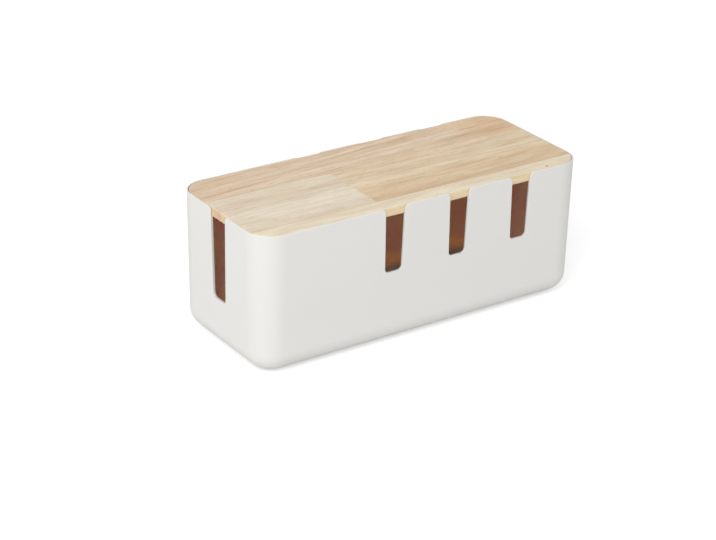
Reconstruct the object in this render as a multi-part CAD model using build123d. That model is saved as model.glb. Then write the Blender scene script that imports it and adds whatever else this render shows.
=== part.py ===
from build123d import *
from collections import Counter
import math
import os

# A free-standing box that hides a power strip and its cables: an open moulded case with
# cable slots, a solid-wood lid that lies inside its rim, and four rubber feet.
# Millimetres and degrees. +X runs along the box, +Y to its back and +Z up. The origin is
# on the desk, under the middle of the box.

os.makedirs("parts", exist_ok=True)

# Case. Length, width and corner radius are outside sizes, measured at the rim.
case_length = 320.0
case_width = 130.0
case_height = 121.5
corner_radius = 22.0
bottom_edge_radius = 16.0
wall = 2.4
floor_thickness = 2.6
draft_angle = 0.75
edge_rounding = 0.5

# Cable slots, cut down from the rim: a row in each long side, for charging cables, and one
# in the left end, for the mains cord. A slot's width is measured at the rim.
long_side_slots = 3
long_side_slot_pitch = 63.4
long_side_slot_offset = 29.8
long_side_slot_width = 18.9
long_side_slot_depth = 57.0
end_slot_width = 22.3
end_slot_depth = 77.4
slot_side_angle = 1.2
slot_floor_radius = 4.0
slot_mouth_radius = 3.8

# Lid, a board glued up from staves. It lies on a ledge, above which the wall is thinner.
rim_wall = 1.2
lid_thickness = 7.8
lid_clearance = 0.4
lid_proud = 0.2
lid_top_rounding = 1.2
lid_bottom_chamfer = 0.3
front_stave_width = 14.6
middle_stave_width = 69.6

# Finger joint across the middle stave. The fingers are stacked through its thickness.
finger_joint_x = -41.0
finger_length = 8.0
finger_tip = 0.6
fingers = 2

# Feet, round pads glued into shallow pockets under the case.
foot_radius = 7.0
foot_thickness = 1.6
foot_rounding = 0.3
foot_pocket_depth = 0.6
foot_clearance = 0.1
foot_end_inset = 32.0
foot_side_inset = 32.0

# Heights above the desk.
case_bottom = foot_thickness - foot_pocket_depth
rim_height = case_bottom + case_height
lid_top = rim_height + lid_proud
lid_bottom = lid_top - lid_thickness

# How far a cutting block runs past the faces that it cuts.
overrun = 2.0
same_place = 0.001

UP = Vector(0, 0, 1)
FRONT = Vector(0, -1, 0)
BACK = Vector(0, 1, 0)
LEFT = Vector(-1, 0, 0)
RIGHT = Vector(1, 0, 0)


def slab(x_range, y_range, z_range):
    """Box between two values on each axis."""
    low = Vector(x_range[0], y_range[0], z_range[0])
    high = Vector(x_range[1], y_range[1], z_range[1])
    size = high - low
    middle = (low + high) * 0.5
    return Pos(*middle) * Box(*size)


def drafted_block(inset, depth):
    """Block below the rim that follows the outside of the case at an inset."""
    rim_plane = Plane(origin=UP * rim_height, x_dir=RIGHT, z_dir=-UP)
    outline = RectangleRounded(
        case_length - 2 * inset,
        case_width - 2 * inset,
        corner_radius - inset,
    )
    return extrude(rim_plane * outline, amount=depth, taper=draft_angle)


def round_bottomed_block(inset, depth):
    """Drafted block with its lower edges rounded like those of the case."""
    block = drafted_block(inset, depth)
    underside = block.faces().sort_by(Axis.Z)[0]
    return fillet(underside.edges(), bottom_edge_radius - inset)


def slot_cutter(place, outward, width, depth):
    """Block that cuts one slot down from the rim, through the wall at place."""
    side_slope = math.tan(math.radians(slot_side_angle))
    half_floor = width / 2 - depth * side_slope
    half_top = width / 2 + overrun * side_slope
    corners = [
        (-half_floor, -depth),
        (half_floor, -depth),
        (half_top, overrun),
        (-half_top, overrun),
    ]
    outline = make_face(Polyline(*corners, close=True))
    floor_corners = outline.vertices().sort_by(Axis.Y)[:2]
    outline = fillet(floor_corners, slot_floor_radius)
    reach = 2 * wall + overrun
    start = place - outward * reach + UP * rim_height
    plane = Plane(origin=start, x_dir=UP.cross(outward), z_dir=outward)
    return extrude(plane * outline, amount=reach + overrun)


def slot_cutters():
    """Cutters of all the slots: the same ones in the front and the back, one in the left end."""
    cutters = []
    for number in range(long_side_slots):
        steps = number - (long_side_slots - 1) / 2
        x = long_side_slot_offset + steps * long_side_slot_pitch
        for outward in (FRONT, BACK):
            place = RIGHT * x + outward * (case_width / 2)
            cutters.append(
                slot_cutter(place, outward, long_side_slot_width, long_side_slot_depth)
            )
    left_end = LEFT * (case_length / 2)
    cutters.append(slot_cutter(left_end, LEFT, end_slot_width, end_slot_depth))
    return cutters


def on_rim(face):
    """True for the flat faces on top of the walls."""
    return abs(face.center().Z - rim_height) < same_place


def on_ledge(edge):
    """True for the edges that lie at the height of the ledge."""
    box = edge.bounding_box()
    return abs(box.min.Z - lid_bottom) < same_place and abs(box.max.Z - lid_bottom) < same_place


def crosses_wall(face):
    """True for the rim and the faces of a slot, which lead from outside to inside."""
    normal = face.normal_at()
    middle = face.center()
    in_long_side = abs(normal.Y) < same_place and abs(middle.Y) > case_width / 2 - 2 * wall
    in_end = abs(normal.X) < same_place and abs(middle.X) > case_length / 2 - 2 * wall
    return on_rim(face) or in_long_side or in_end


def shell():
    """Walls with the ledge and the slots, and the floor, rounded along the rim and the slots."""
    tub = round_bottomed_block(0, case_height)
    tub = tub - round_bottomed_block(wall, case_height - floor_thickness)
    tub = tub - drafted_block(rim_wall, rim_height - lid_bottom)
    tub = tub - slot_cutters()
    rim_edges = tub.faces().filter_by(on_rim).edges()
    mouth_corners = [edge for edge in rim_edges if edge.length < 2 * wall]
    tub = fillet(mouth_corners, slot_mouth_radius)
    edge_uses = Counter()
    for face in tub.faces().filter_by(crosses_wall):
        edge_uses.update(face.edges())
    outline_edges = [edge for edge, uses in edge_uses.items() if uses == 1]
    rounded_edges = [edge for edge in outline_edges if not on_ledge(edge)]
    return fillet(rounded_edges, edge_rounding)


def foot_places():
    """Name and middle of each foot."""
    x = case_length / 2 - foot_end_inset
    y = case_width / 2 - foot_side_inset
    return {
        "foot_front_left": LEFT * x + FRONT * y,
        "foot_front_right": RIGHT * x + FRONT * y,
        "foot_back_left": LEFT * x + BACK * y,
        "foot_back_right": RIGHT * x + BACK * y,
    }


def disc(place, radius, bottom, thickness):
    """Upright cylinder at place, from its bottom height."""
    flat_on = (Align.CENTER, Align.CENTER, Align.MIN)
    return Pos(*(place + UP * bottom)) * Cylinder(radius, thickness, align=flat_on)


def case():
    """Case in one moulding: the shell with the pockets of the feet."""
    pockets = [
        disc(place, foot_radius + foot_clearance, case_bottom, foot_pocket_depth)
        for place in foot_places().values()
    ]
    return shell() - pockets


def foot(place):
    """Rubber pad, its top glued to the ceiling of the pocket and its rim on the desk."""
    pad = disc(place, foot_radius, 0, foot_thickness)
    underside = pad.faces().sort_by(Axis.Z)[0]
    return fillet(underside.edges(), foot_rounding)


def lid_staves():
    """The staves of the lid, split along their glue lines."""
    inset = rim_wall + lid_clearance
    length = case_length - 2 * inset
    width = case_width - 2 * inset
    outline = RectangleRounded(length, width, corner_radius - inset)
    board = extrude(Pos(0, 0, lid_bottom) * outline, amount=lid_thickness)
    top = board.faces().sort_by(Axis.Z)[-1]
    board = fillet(top.edges(), lid_top_rounding)
    underside = board.faces().sort_by(Axis.Z)[0]
    board = chamfer(underside.edges(), lid_bottom_chamfer)

    x_range = (-length / 2 - overrun, length / 2 + overrun)
    z_range = (lid_bottom - overrun, lid_top + overrun)
    front_edge = -width / 2
    front_line = front_edge + front_stave_width
    back_line = front_line + middle_stave_width
    front_range = (front_edge - overrun, front_line)
    middle_range = (front_line, back_line)
    back_range = (back_line, width / 2 + overrun)

    middle = board & slab(x_range, middle_range, z_range)
    left_of_joint = finger_joint_cutter(x_range[0], middle_range, z_range)
    return {
        "lid_front_stave": board & slab(x_range, front_range, z_range),
        "lid_middle_stave_left": middle & left_of_joint,
        "lid_middle_stave_right": middle - left_of_joint,
        "lid_back_stave": board & slab(x_range, back_range, z_range),
    }


def finger_joint_cutter(left_end, y_range, z_range):
    """Block left of the finger joint, with the joint's zigzag as its right side."""
    pitch = lid_thickness / fingers
    root_x = finger_joint_x - finger_length
    corners = [(left_end, z_range[1]), (finger_joint_x, z_range[1])]
    for number in range(fingers):
        top = lid_top - number * pitch
        middle = top - pitch / 2
        corners += [
            (finger_joint_x, top - finger_tip / 2),
            (root_x, middle + finger_tip / 2),
            (root_x, middle - finger_tip / 2),
            (finger_joint_x, top - pitch + finger_tip / 2),
        ]
    corners += [(finger_joint_x, z_range[0]), (left_end, z_range[0])]
    plane = Plane(origin=(0, y_range[1], 0), x_dir=RIGHT, z_dir=FRONT)
    outline = make_face(Polyline(*corners, close=True))
    return extrude(plane * outline, amount=y_range[1] - y_range[0])


def nodes():
    """Every piece of the box by name."""
    pieces = {"case": case()}
    pieces.update(lid_staves())
    for name, place in foot_places().items():
        pieces[name] = foot(place)
    return pieces


for node_name, piece in nodes().items():
    export_step(piece, f"parts/{node_name}.step")
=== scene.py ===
import math

import bpy
from mathutils import Matrix, Vector


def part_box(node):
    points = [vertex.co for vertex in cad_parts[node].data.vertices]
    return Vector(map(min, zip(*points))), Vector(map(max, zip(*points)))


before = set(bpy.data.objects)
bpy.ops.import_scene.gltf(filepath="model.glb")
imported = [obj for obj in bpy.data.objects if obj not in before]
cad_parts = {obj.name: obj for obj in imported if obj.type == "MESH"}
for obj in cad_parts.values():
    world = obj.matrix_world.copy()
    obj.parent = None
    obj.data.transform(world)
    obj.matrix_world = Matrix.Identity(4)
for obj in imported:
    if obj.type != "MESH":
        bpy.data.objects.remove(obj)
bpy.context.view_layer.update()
print("stage: frame loaded,", len(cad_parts), "pieces")

mm = 0.001


# Nodes, materials and the pieces that get them

def addNode(tree, kind, inputs=None, **settings):
    # An input is linked where its value is a socket, and otherwise set to the value.
    node = tree.nodes.new(kind)
    for name, value in settings.items():
        setattr(node, name, value)
    for name, value in (inputs or {}).items():
        if isinstance(value, bpy.types.NodeSocket):
            tree.links.new(value, node.inputs[name])
        else:
            node.inputs[name].default_value = value
    return node


def newMaterial(name):
    material = bpy.data.materials.new(name)
    material.use_nodes = True
    material.node_tree.nodes.clear()
    return material


def addSurface(tree, inputs):
    shader = addNode(tree, "ShaderNodeBsdfPrincipled", inputs)
    addNode(tree, "ShaderNodeOutputMaterial", {"Surface": shader.outputs[0]})


def dress(name, material):
    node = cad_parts[name]
    node.data.materials.clear()
    node.data.materials.append(material)


# Camera and studio

cameraView = {
    "lensMm": 104.02,
    "sensorMm": 36.0,
    "place": (-0.91442, -1.29077, 0.77851),
    "yawDegrees": -34.589,
    "pitchDegrees": 25.258,  # how far it looks down
    "rollDegrees": 1.273,
}

studio = {
    "skyLevel": 0.80,            # light from all round; at 1 a colour shows as it is written
    "keyLevel": 0.44,            # soft lamp, to the front left and above
    "keyAzimuthDegrees": -56.0,  # turned from the front towards the left end
    "keyHeightDegrees": 40.0,
    "keyDistance": 3.0,
    "keySize": 1.8,
    "floorSize": 14.0,
    "floorGrey": 0.80,           # what the floor sends back to the box
    "floorGlow": 0.43,           # added for the camera alone, so that the floor is white
}


def rotation(degrees, axis):
    return Matrix.Rotation(math.radians(degrees), 4, axis)


def makeCamera(view):
    data = bpy.data.cameras.new("productCamera")
    data.lens = view["lensMm"]
    data.sensor_width = view["sensorMm"]
    camera = bpy.data.objects.new("productCamera", data)
    bpy.context.scene.collection.objects.link(camera)
    # An unturned camera looks straight down.
    turn = rotation(view["yawDegrees"], "Z") @ rotation(90 - view["pitchDegrees"], "X")
    turn = turn @ rotation(view["rollDegrees"], "Z")
    camera.matrix_world = Matrix.Translation(view["place"]) @ turn
    bpy.context.scene.camera = camera


def makeFloor(look):
    half = look["floorSize"] / 2
    mesh = bpy.data.meshes.new("studioFloor")
    corners = [(-half, -half, 0), (half, -half, 0), (half, half, 0), (-half, half, 0)]
    mesh.from_pydata(corners, [], [(0, 1, 2, 3)])
    floor = bpy.data.objects.new("studioFloor", mesh)
    bpy.context.scene.collection.objects.link(floor)
    material = newMaterial("studioFloorPaper")
    tree = material.node_tree
    grey = look["floorGrey"]
    paper = addNode(tree, "ShaderNodeBsdfDiffuse", {"Color": (grey, grey, grey, 1)})
    light = addNode(tree, "ShaderNodeLightPath")
    glowLevel = addNode(
        tree, "ShaderNodeMath",
        {0: light.outputs["Is Camera Ray"], 1: look["floorGlow"]}, operation="MULTIPLY",
    )
    glow = addNode(tree, "ShaderNodeEmission", {"Strength": glowLevel.outputs[0]})
    both = addNode(tree, "ShaderNodeAddShader", {0: paper.outputs[0], 1: glow.outputs[0]})
    addNode(tree, "ShaderNodeOutputMaterial", {"Surface": both.outputs[0]})
    mesh.materials.append(material)


def makeSky(look):
    # White where it is seen or mirrored, and at skyLevel as a light.
    world = bpy.data.worlds.new("studioSky")
    bpy.context.scene.world = world
    world.use_nodes = True
    tree = world.node_tree
    tree.nodes.clear()
    light = addNode(tree, "ShaderNodeLightPath")
    seenWhite = addNode(
        tree, "ShaderNodeMath",
        {0: light.outputs["Is Camera Ray"], 1: light.outputs["Is Glossy Ray"]},
        operation="MAXIMUM",
    )
    level = addNode(
        tree, "ShaderNodeMapRange",
        {"Value": seenWhite.outputs[0], "To Min": look["skyLevel"], "To Max": 1.0},
    )
    sky = addNode(tree, "ShaderNodeBackground", {"Strength": level.outputs[0]})
    addNode(tree, "ShaderNodeOutputWorld", {"Surface": sky.outputs[0]})


def makeKeyLamp(look):
    azimuth = math.radians(look["keyAzimuthDegrees"])
    height = math.radians(look["keyHeightDegrees"])
    outward = Vector((
        math.sin(azimuth) * math.cos(height),
        -math.cos(azimuth) * math.cos(height),
        math.sin(height),
    ))
    data = bpy.data.lights.new("keyLamp", "AREA")
    data.size = look["keySize"]
    # The power at which a white face that looks at the lamp is as bright as keyLevel.
    data.energy = look["keyLevel"] * (math.pi * look["keyDistance"]) ** 2
    lamp = bpy.data.objects.new("keyLamp", data)
    bpy.context.scene.collection.objects.link(lamp)
    lamp.location = outward * look["keyDistance"]
    lamp.rotation_euler = outward.to_track_quat("Z", "Y").to_euler()


makeCamera(cameraView)
makeFloor(studio)
makeSky(studio)
makeKeyLamp(studio)
bpy.context.scene.view_settings.view_transform = "Standard"
print("stage: camera, floor and light")


# Steps that the shader effects and the materials share

def asLinear(red, green, blue):
    # Linear colour of a screen colour from 0 to 255, by the usual curve of screens.
    return tuple(((value / 255 + 0.055) / 1.055) ** 2.4 for value in (red, green, blue)) + (1.0,)


def calculate(tree, operation, *values):
    return addNode(tree, "ShaderNodeMath", dict(enumerate(values)), operation=operation).outputs[0]


def blendColour(tree, amount, first, second, how="MIX"):
    # In a Mix node the colours are inputs 6 and 7, and their blend is output 2.
    inputs = {0: amount, 6: first, 7: second}
    return addNode(tree, "ShaderNodeMix", inputs, data_type="RGBA", blend_type=how).outputs[2]


def tinted(tree, amount, colour, tint):
    return blendColour(tree, amount, colour, tint + (1,), "MULTIPLY")


def fadeBetween(tree, value, start, end):
    # 0 below start and 1 above end, or the other way round, with a soft step.
    inputs = {"Value": value, "From Min": start, "From Max": end}
    return addNode(tree, "ShaderNodeMapRange", inputs, interpolation_type="SMOOTHSTEP").outputs[0]


def stretchedNoise(tree, point, perMetre, seed, detail=2.0):
    # Noise from 0 to 1, whose features per metre differ along the three axes.
    scaled = addNode(tree, "ShaderNodeVectorMath", {0: point, 1: perMetre}, operation="MULTIPLY")
    inputs = {"Vector": scaled.outputs[0], "W": seed, "Scale": 1.0, "Detail": detail}
    return addNode(tree, "ShaderNodeTexNoise", inputs, noise_dimensions="4D").outputs["Fac"]


def objectPoint(tree):
    return addNode(tree, "ShaderNodeTexCoord").outputs["Object"]


def axesOf(tree, vector):
    return addNode(tree, "ShaderNodeSeparateXYZ", {0: vector}).outputs


def addBump(tree, height, distance):
    return addNode(tree, "ShaderNodeBump", {"Height": height, "Distance": distance}).outputs[0]


# Shader effects

def newGroup(name, inputs, outputs):
    # Empty shader group; inputs and outputs map a socket's name to its type.
    group = bpy.data.node_groups.new(name, "ShaderNodeTree")
    for socketName, kind in inputs.items():
        group.interface.new_socket(socketName, in_out="INPUT", socket_type="NodeSocket" + kind)
    for socketName, kind in outputs.items():
        group.interface.new_socket(socketName, in_out="OUTPUT", socket_type="NodeSocket" + kind)
    return group, group.nodes.new("NodeGroupInput"), group.nodes.new("NodeGroupOutput")


def putOut(group, result, values):
    for socketName, value in values.items():
        group.links.new(value, result.inputs[socketName])


grainLayers = {
    # Noise features per metre along X, Y and Z, its detail, the noise values between which the
    # layer goes from light to dark, and what the board's colour is multiplied by at both ends.
    "Bands": {"perMetre": (2.2, 75.0, 75.0), "detail": 2.0, "fade": (0.38, 0.62),
              "light": (1.02, 1.02, 1.02), "dark": (0.94, 0.90, 0.84)},
    "Mottles": {"perMetre": (26.0, 210.0, 210.0), "detail": 2.0, "fade": (0.30, 0.70),
                "light": (1.08, 1.08, 1.09), "dark": (0.925, 0.89, 0.85)},
    "Streaks": {"perMetre": (11.0, 330.0, 330.0), "detail": 2.0, "fade": (0.50, 0.74),
                "light": (1.01, 1.01, 1.02), "dark": (0.84, 0.71, 0.56)},
    "Fibres": {"perMetre": (60.0, 2400.0, 2400.0), "detail": 2.0, "fade": (0.30, 0.75),
               "light": (1.02, 1.02, 1.02), "dark": (0.93, 0.89, 0.83)},
    "Pores": {"perMetre": (150.0, 2300.0, 2300.0), "detail": 1.0, "fade": (0.62, 0.69),
              "light": (1.0, 1.0, 1.0), "dark": (0.72, 0.60, 0.46)},
}

grainShape = {
    "wanderPerMetre": (7.0, 25.0, 25.0),
    "wanderDetail": 1.0,
    "wander": 8 * mm,              # how far a fibre strays sideways
    "endGrainStart": 0.90,         # how squarely a face must look along the fibres
    "endGrainFull": 0.97,
    "endGrainTint": (1.0, 0.93, 0.97),
    "uprightStart": 0.6,           # how far a face may still look up
    "uprightFull": 0.2,
    "uprightTint": (1.01, 0.95, 0.80),
    "roughness": 0.42,
    "fibreRoughness": 0.16,        # added in the dark fibres
    "endGrainRoughness": 0.10,     # added on end grain
    "fibreHeight": 0.5,            # parts of a material's grainDepth
    "poreDepth": 0.8,
}


def makeWoodGrainGroup(shape):
    # Sawn grain that runs along X, from broad bands down to short dark pores.
    inputs = {"Point": "Vector", "Base": "Color", "Seed": "Float", "Slant": "Float"}
    inputs.update({layerName: "Float" for layerName in grainLayers})
    outputs = {"Color": "Color", "Roughness": "Float", "Height": "Float"}
    group, given, result = newGroup("woodGrain", inputs, outputs)
    turn = {"Vector": given.outputs["Point"], "Angle": given.outputs["Slant"]}
    turned = addNode(group, "ShaderNodeVectorRotate", turn, rotation_type="Z_AXIS").outputs[0]
    seed = given.outputs["Seed"]
    stray = stretchedNoise(group, turned, shape["wanderPerMetre"], seed, shape["wanderDetail"])
    shift = calculate(group, "MULTIPLY_ADD", stray, shape["wander"], -shape["wander"] / 2)
    offset = addNode(group, "ShaderNodeCombineXYZ", {"Y": shift, "Z": shift}).outputs[0]
    point = addNode(group, "ShaderNodeVectorMath", {0: turned, 1: offset}, operation="ADD").outputs[0]

    colour = given.outputs["Base"]
    masks = {}
    for layerName, layer in grainLayers.items():
        noise = stretchedNoise(group, point, layer["perMetre"], seed, layer["detail"])
        masks[layerName] = fadeBetween(group, noise, *layer["fade"])
        tint = blendColour(group, masks[layerName], layer["light"] + (1,), layer["dark"] + (1,))
        colour = blendColour(group, given.outputs[layerName], colour, tint, "MULTIPLY")

    normal = addNode(group, "ShaderNodeTexCoord").outputs["Normal"]
    facing = axesOf(group, normal)
    upwards = calculate(group, "ABSOLUTE", facing["Z"])
    upright = fadeBetween(group, upwards, shape["uprightStart"], shape["uprightFull"])
    colour = tinted(group, upright, colour, shape["uprightTint"])
    squareness = calculate(group, "ABSOLUTE", facing["X"])
    endGrain = fadeBetween(group, squareness, shape["endGrainStart"], shape["endGrainFull"])
    colour = tinted(group, endGrain, colour, shape["endGrainTint"])

    pores = calculate(group, "MULTIPLY", masks["Pores"], given.outputs["Pores"])
    depth = calculate(group, "MULTIPLY", pores, shape["poreDepth"])
    height = calculate(group, "MULTIPLY", masks["Fibres"], shape["fibreHeight"])
    height = calculate(group, "SUBTRACT", height, depth)
    rough = calculate(
        group, "MULTIPLY_ADD", masks["Fibres"], shape["fibreRoughness"], shape["roughness"],
    )
    rough = calculate(group, "MULTIPLY_ADD", endGrain, shape["endGrainRoughness"], rough)
    putOut(group, result, {"Color": colour, "Roughness": rough, "Height": height})
    return group


mouldSkin = {
    "grainDetail": 3.0,
    "driftPerMetre": (9.0, 9.0, 14.0),
    "driftSeed": 2.0,
    "shadeLow": 0.975,             # what the colour is multiplied by where the drift is 0
    "driftShade": 0.03,            # and how much more of it where the drift is 1
    "sheenSpread": 0.15,           # how far the grain and the drift change the roughness
}


def makeMouldTextureGroup(skin):
    # Fine spark-eroded skin of a moulding or a rubber pad, with a slow drift in its sheen.
    group, given, result = newGroup(
        "mouldTexture",
        {"Point": "Vector", "Base": "Color", "Grain Per Metre": "Float", "Roughness": "Float"},
        {"Color": "Color", "Roughness": "Float", "Height": "Float"},
    )
    point = given.outputs["Point"]
    scaled = addNode(
        group, "ShaderNodeVectorMath",
        {0: point, "Scale": given.outputs["Grain Per Metre"]}, operation="SCALE",
    ).outputs[0]
    grainInputs = {"Vector": scaled, "Scale": 1.0, "Detail": skin["grainDetail"]}
    grain = addNode(group, "ShaderNodeTexNoise", grainInputs).outputs["Fac"]
    drift = stretchedNoise(group, point, skin["driftPerMetre"], skin["driftSeed"])
    shade = calculate(group, "MULTIPLY_ADD", drift, skin["driftShade"], skin["shadeLow"])
    grey = {"Red": shade, "Green": shade, "Blue": shade}
    shadeColour = addNode(group, "ShaderNodeCombineColor", grey).outputs[0]
    colour = blendColour(group, 1.0, given.outputs["Base"], shadeColour, "MULTIPLY")
    # Each noise is about a half, so the two together are about 1.
    spread = calculate(group, "SUBTRACT", calculate(group, "ADD", grain, drift), 1.0)
    rough = calculate(group, "MULTIPLY_ADD", spread, skin["sheenSpread"], given.outputs["Roughness"])
    putOut(group, result, {"Color": colour, "Roughness": rough, "Height": grain})
    return group


woodGrain = makeWoodGrainGroup(grainShape)
mouldTexture = makeMouldTextureGroup(mouldSkin)
print("stage: shader effects")


def addMouldTexture(tree, point, look):
    # Base Color, Roughness and Normal of a moulded surface.
    texture = addNode(tree, "ShaderNodeGroup", node_tree=mouldTexture)
    tree.links.new(point, texture.inputs["Point"])
    texture.inputs["Base"].default_value = asLinear(*look["colour"])
    texture.inputs["Grain Per Metre"].default_value = look["grainPerMetre"]
    texture.inputs["Roughness"].default_value = look["roughness"]
    return {
        "Base Color": texture.outputs["Color"],
        "Roughness": texture.outputs["Roughness"],
        "Normal": addBump(tree, texture.outputs["Height"], look["grainDepth"]),
    }


# Case

caseLook = {
    "colour": (238, 237, 233),
    "roughness": 0.42,
    "grainPerMetre": 2600.0,
    "grainDepth": 0.02 * mm,
    "lightReach": (1.0, 0.33, 0.10),  # how far red, green and blue light get into the plastic
    "wallReach": 4.5 * mm,
    "bottomReach": 14.0 * mm,         # light comes from the side through the bend of the bottom
    "bendStart": 3.0 * mm,            # heights between which the one turns into the other
    "bendEnd": 16.0 * mm,
    "glowStart": 3.6 * mm,            # no light comes through the floor, which is on the desk
    "glowFull": 4.4 * mm,
    # Painted warm shade on the inside faces, slight on the walls and stronger on the bottom: the
    # brown that light through the walls gives them
    "wallPaintedWarmShade": (1.0, 0.98, 0.93),
    "bottomPaintedWarmShade": (1.0, 0.83, 0.74),
    "insideStart": 2.15 * mm,         # depth in the wall at which a face counts as inside
    "insideFull": 2.35 * mm,
}

# The case's outside, as the source has it.
caseShape = {
    "cornerRadius": 22.0 * mm,
    "bottomRadius": 16.0 * mm,
    "draftDegrees": 0.75,
}


def pastZero(tree, value):
    return calculate(tree, "MAXIMUM", value, 0.0)


def lengthOf(tree, first, second):
    squares = calculate(tree, "MULTIPLY", first, first)
    return calculate(tree, "SQRT", calculate(tree, "MULTIPLY_ADD", second, second, squares))


def wallDepth(tree, axes, shape):
    # Depth below the outside of the case, which has draft, round corners and a round bottom.
    low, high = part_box("case")
    radius, bottomRadius = shape["cornerRadius"], shape["bottomRadius"]
    slope = math.tan(math.radians(shape["draftDegrees"]))
    pastCorner = []
    for axis, half in (("X", high.x), ("Y", high.y)):
        distance = calculate(tree, "ABSOLUTE", axes[axis])
        pastCorner.append(pastZero(tree, calculate(tree, "SUBTRACT", distance, half - radius)))
    outline = calculate(tree, "MULTIPLY_ADD", axes["Z"], slope, radius - high.z * slope)
    inset = calculate(tree, "SUBTRACT", outline, lengthOf(tree, *pastCorner))
    sideways = pastZero(tree, calculate(tree, "SUBTRACT", bottomRadius, inset))
    bottomCentre = low.z + bottomRadius
    downwards = pastZero(tree, calculate(tree, "SUBTRACT", bottomCentre, axes["Z"]))
    return calculate(tree, "SUBTRACT", bottomRadius, lengthOf(tree, sideways, downwards))


def makeCasePlastic(look):
    # White plastic; on the inside it lets through some of the light that falls on the outside. Its
    # inside faces also carry painted warm shade, strongest at the bottom.
    material = newMaterial("whitePlastic")
    tree = material.node_tree
    point = objectPoint(tree)
    surface = addMouldTexture(tree, point, look)
    axes = axesOf(tree, point)
    depth = wallDepth(tree, axes, caseShape)
    inside = fadeBetween(tree, depth, look["insideStart"], look["insideFull"])
    aboveBend = fadeBetween(tree, axes["Z"], look["bendStart"], look["bendEnd"])
    # The inside faces are multiplied by the painted warm shade, which turns browner towards the
    # bottom.
    tint = blendColour(tree, aboveBend, look["bottomPaintedWarmShade"] + (1,), look["wallPaintedWarmShade"] + (1,))
    reach = addNode(tree, "ShaderNodeMapRange", {
        "Value": aboveBend, "To Min": look["bottomReach"], "To Max": look["wallReach"],
    })
    aboveFloor = fadeBetween(tree, axes["Z"], look["glowStart"], look["glowFull"])
    surface.update({
        "Base Color": blendColour(tree, inside, surface["Base Color"], tint, "MULTIPLY"),
        "Subsurface Weight": calculate(tree, "MULTIPLY", inside, aboveFloor),
        "Subsurface Radius": look["lightReach"],
        "Subsurface Scale": reach.outputs[0],
    })
    addSurface(tree, surface)
    return material


dress("case", makeCasePlastic(caseLook))
print("stage: case")


# Lid

# Tones run across a stave from its front edge, at 0, to its back edge, at 1. The layers say
# how strongly each part of the grain shows, and the glue lines where the next staves are.
staveLooks = {
    "lid_front_stave": {
        "tones": [(0.0, (238, 226, 202)), (1.0, (238, 226, 202))],
        "seed": 3.0, "slantDegrees": 0.0,
        "layers": {"Bands": 0.5, "Mottles": 0.7, "Streaks": 0.2, "Fibres": 0.4, "Pores": 0.6},
        "glueLines": ("back",),
    },
    "lid_middle_stave_left": {
        "tones": [(0.05, (230, 217, 196)), (0.25, (236, 225, 206)), (0.50, (234, 223, 204)),
                  (0.70, (228, 213, 191)), (0.88, (232, 220, 198))],
        "seed": 11.0, "slantDegrees": 0.0,
        "layers": {"Bands": 0.8, "Mottles": 0.8, "Streaks": 0.25, "Fibres": 0.4, "Pores": 0.6},
        "glueLines": ("front", "back"),
    },
    "lid_middle_stave_right": {
        "tones": [(0.05, (223, 199, 167)), (0.35, (228, 206, 173)), (0.51, (236, 220, 193)),
                  (0.70, (228, 209, 179)), (0.90, (230, 210, 180))],
        "seed": 23.0, "slantDegrees": 0.5,
        "layers": {"Bands": 0.8, "Mottles": 0.9, "Streaks": 0.45, "Fibres": 0.4, "Pores": 0.8},
        "glueLines": ("front", "back", "fingerJoint"),
    },
    "lid_back_stave": {
        "tones": [(0.0, (230, 211, 186)), (1.0, (230, 211, 186))],
        "rightTones": [(0.13, (228, 198, 166)), (0.35, (223, 194, 160)), (0.65, (227, 198, 163)),
                       (1.0, (232, 208, 176))],
        "rightStartsX": 88 * mm,
        "rightFullX": 126 * mm,
        "seed": 37.0, "slantDegrees": 3.5,
        "layers": {"Bands": 0.9, "Mottles": 0.9, "Streaks": 0.9, "Fibres": 0.4, "Pores": 0.8},
        "glueLines": ("front",),
    },
}

lidLook = {
    "grainDepth": 0.05 * mm,
    "specular": 0.35,
    "toneWander": 5 * mm,            # how far the border between two tones strays
    "toneWanderPerMetre": (6.0, 60.0, 60.0),
    "rightWander": 8.0,              # how many times as far the right tones' border strays
    "glueLineHalfWidth": 0.15 * mm,  # the part of a glue line that shows on one stave
    "glueLineSoftness": 0.15 * mm,
    "glueLineTint": (0.88, 0.81, 0.72),
    "fleckPlace": (123.2 * mm, -60.5 * mm),
    "fleckHalfSize": (2.2 * mm, 0.9 * mm),
    "fleckFade": (1.0, 0.3),         # (distance / half size) squared, at its rim and its core
    "fleckColour": (168, 126, 88),
}

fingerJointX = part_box("lid_middle_stave_left")[1].x


def toneRamp(tree, position, tones):
    ramp = addNode(tree, "ShaderNodeValToRGB", {0: position})
    stops = ramp.color_ramp.elements
    while len(stops) < len(tones):
        stops.new(0.5)  # anywhere, because each stop gets its place below
    for stop, (place, colour) in zip(stops, tones):
        stop.position = place
        stop.color = asLinear(*colour)
    return ramp.outputs[0]


def staveTone(tree, point, axes, low, high, look):
    # Slow change of colour over a stave, with borders that stray like the grain.
    wander = lidLook["toneWander"]
    stray = stretchedNoise(tree, point, lidLook["toneWanderPerMetre"], look["seed"])
    shift = calculate(tree, "MULTIPLY_ADD", stray, 2 * wander, -wander)
    across = calculate(tree, "ADD", axes["Y"], shift)
    span = {"Value": across, "From Min": low.y, "From Max": high.y}
    position = addNode(tree, "ShaderNodeMapRange", span).outputs[0]
    tone = toneRamp(tree, position, look["tones"])
    if "rightTones" in look:
        along = calculate(tree, "MULTIPLY_ADD", shift, lidLook["rightWander"], axes["X"])
        change = fadeBetween(tree, along, look["rightStartsX"], look["rightFullX"])
        tone = blendColour(tree, change, tone, toneRamp(tree, position, look["rightTones"]))
    return tone


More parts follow.
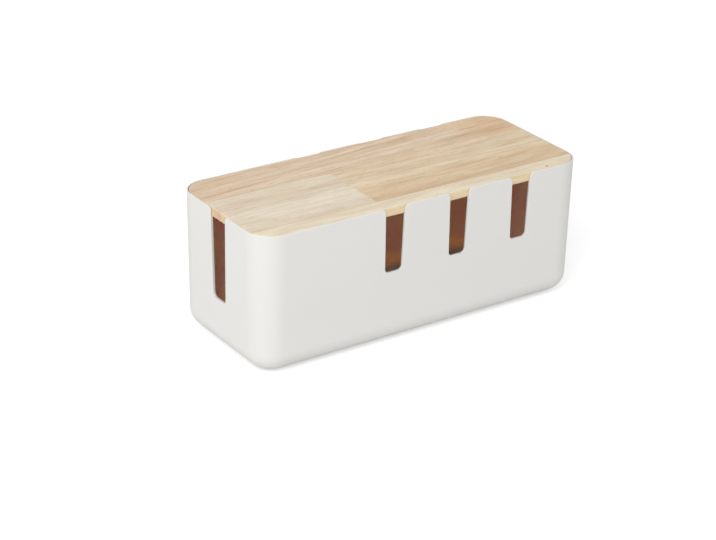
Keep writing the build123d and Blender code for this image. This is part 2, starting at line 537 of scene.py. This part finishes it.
def addGlueLine(tree, coordinate, place, colour):
    # Thin darker line where a stave meets the next one, at place on the axis of coordinate.
    distance = calculate(tree, "ABSOLUTE", calculate(tree, "SUBTRACT", coordinate, place))
    half = lidLook["glueLineHalfWidth"]
    line = fadeBetween(tree, distance, half + lidLook["glueLineSoftness"], half)
    return tinted(tree, line, colour, lidLook["glueLineTint"])


def addFleck(tree, axes, colour):
    # One small brown knot fleck near the front edge of the lid.
    squares = []
    for axis, place, half in zip("XY", lidLook["fleckPlace"], lidLook["fleckHalfSize"]):
        offset = calculate(tree, "DIVIDE", calculate(tree, "SUBTRACT", axes[axis], place), half)
        squares.append(calculate(tree, "MULTIPLY", offset, offset))
    fleck = fadeBetween(tree, calculate(tree, "ADD", *squares), *lidLook["fleckFade"])
    return blendColour(tree, fleck, colour, asLinear(*lidLook["fleckColour"]))


def makeStaveWood(name, look):
    low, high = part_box(name)
    material = newMaterial(name + "_wood")
    tree = material.node_tree
    point = objectPoint(tree)
    axes = axesOf(tree, point)
    grain = addNode(tree, "ShaderNodeGroup", node_tree=woodGrain)
    tree.links.new(point, grain.inputs["Point"])
    tree.links.new(staveTone(tree, point, axes, low, high, look), grain.inputs["Base"])
    grain.inputs["Seed"].default_value = look["seed"]
    grain.inputs["Slant"].default_value = math.radians(-look["slantDegrees"])
    for layerName, amount in look["layers"].items():
        grain.inputs[layerName].default_value = amount
    colour = grain.outputs["Color"]
    edges = {"front": ("Y", low.y), "back": ("Y", high.y), "fingerJoint": ("X", fingerJointX)}
    for edge in look["glueLines"]:
        axis, place = edges[edge]
        colour = addGlueLine(tree, axes[axis], place, colour)
    if name == "lid_front_stave":
        colour = addFleck(tree, axes, colour)
    addSurface(tree, {
        "Base Color": colour,
        "Roughness": grain.outputs["Roughness"],
        "Normal": addBump(tree, grain.outputs["Height"], lidLook["grainDepth"]),
        "Specular IOR Level": lidLook["specular"],
    })
    return material


for staveName, staveLook in staveLooks.items():
    dress(staveName, makeStaveWood(staveName, staveLook))
print("stage: lid")


# Feet

footLook = {
    "colour": (196, 196, 194),
    "roughness": 0.75,
    "grainPerMetre": 1800.0,
    "grainDepth": 0.04 * mm,
}


def makeFootRubber(look):
    material = newMaterial("clearGreyRubber")
    tree = material.node_tree
    addSurface(tree, addMouldTexture(tree, objectPoint(tree), look))
    return material


footRubber = makeFootRubber(footLook)
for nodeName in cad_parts:
    if nodeName.startswith("foot"):
        dress(nodeName, footRubber)
print("stage: feet")
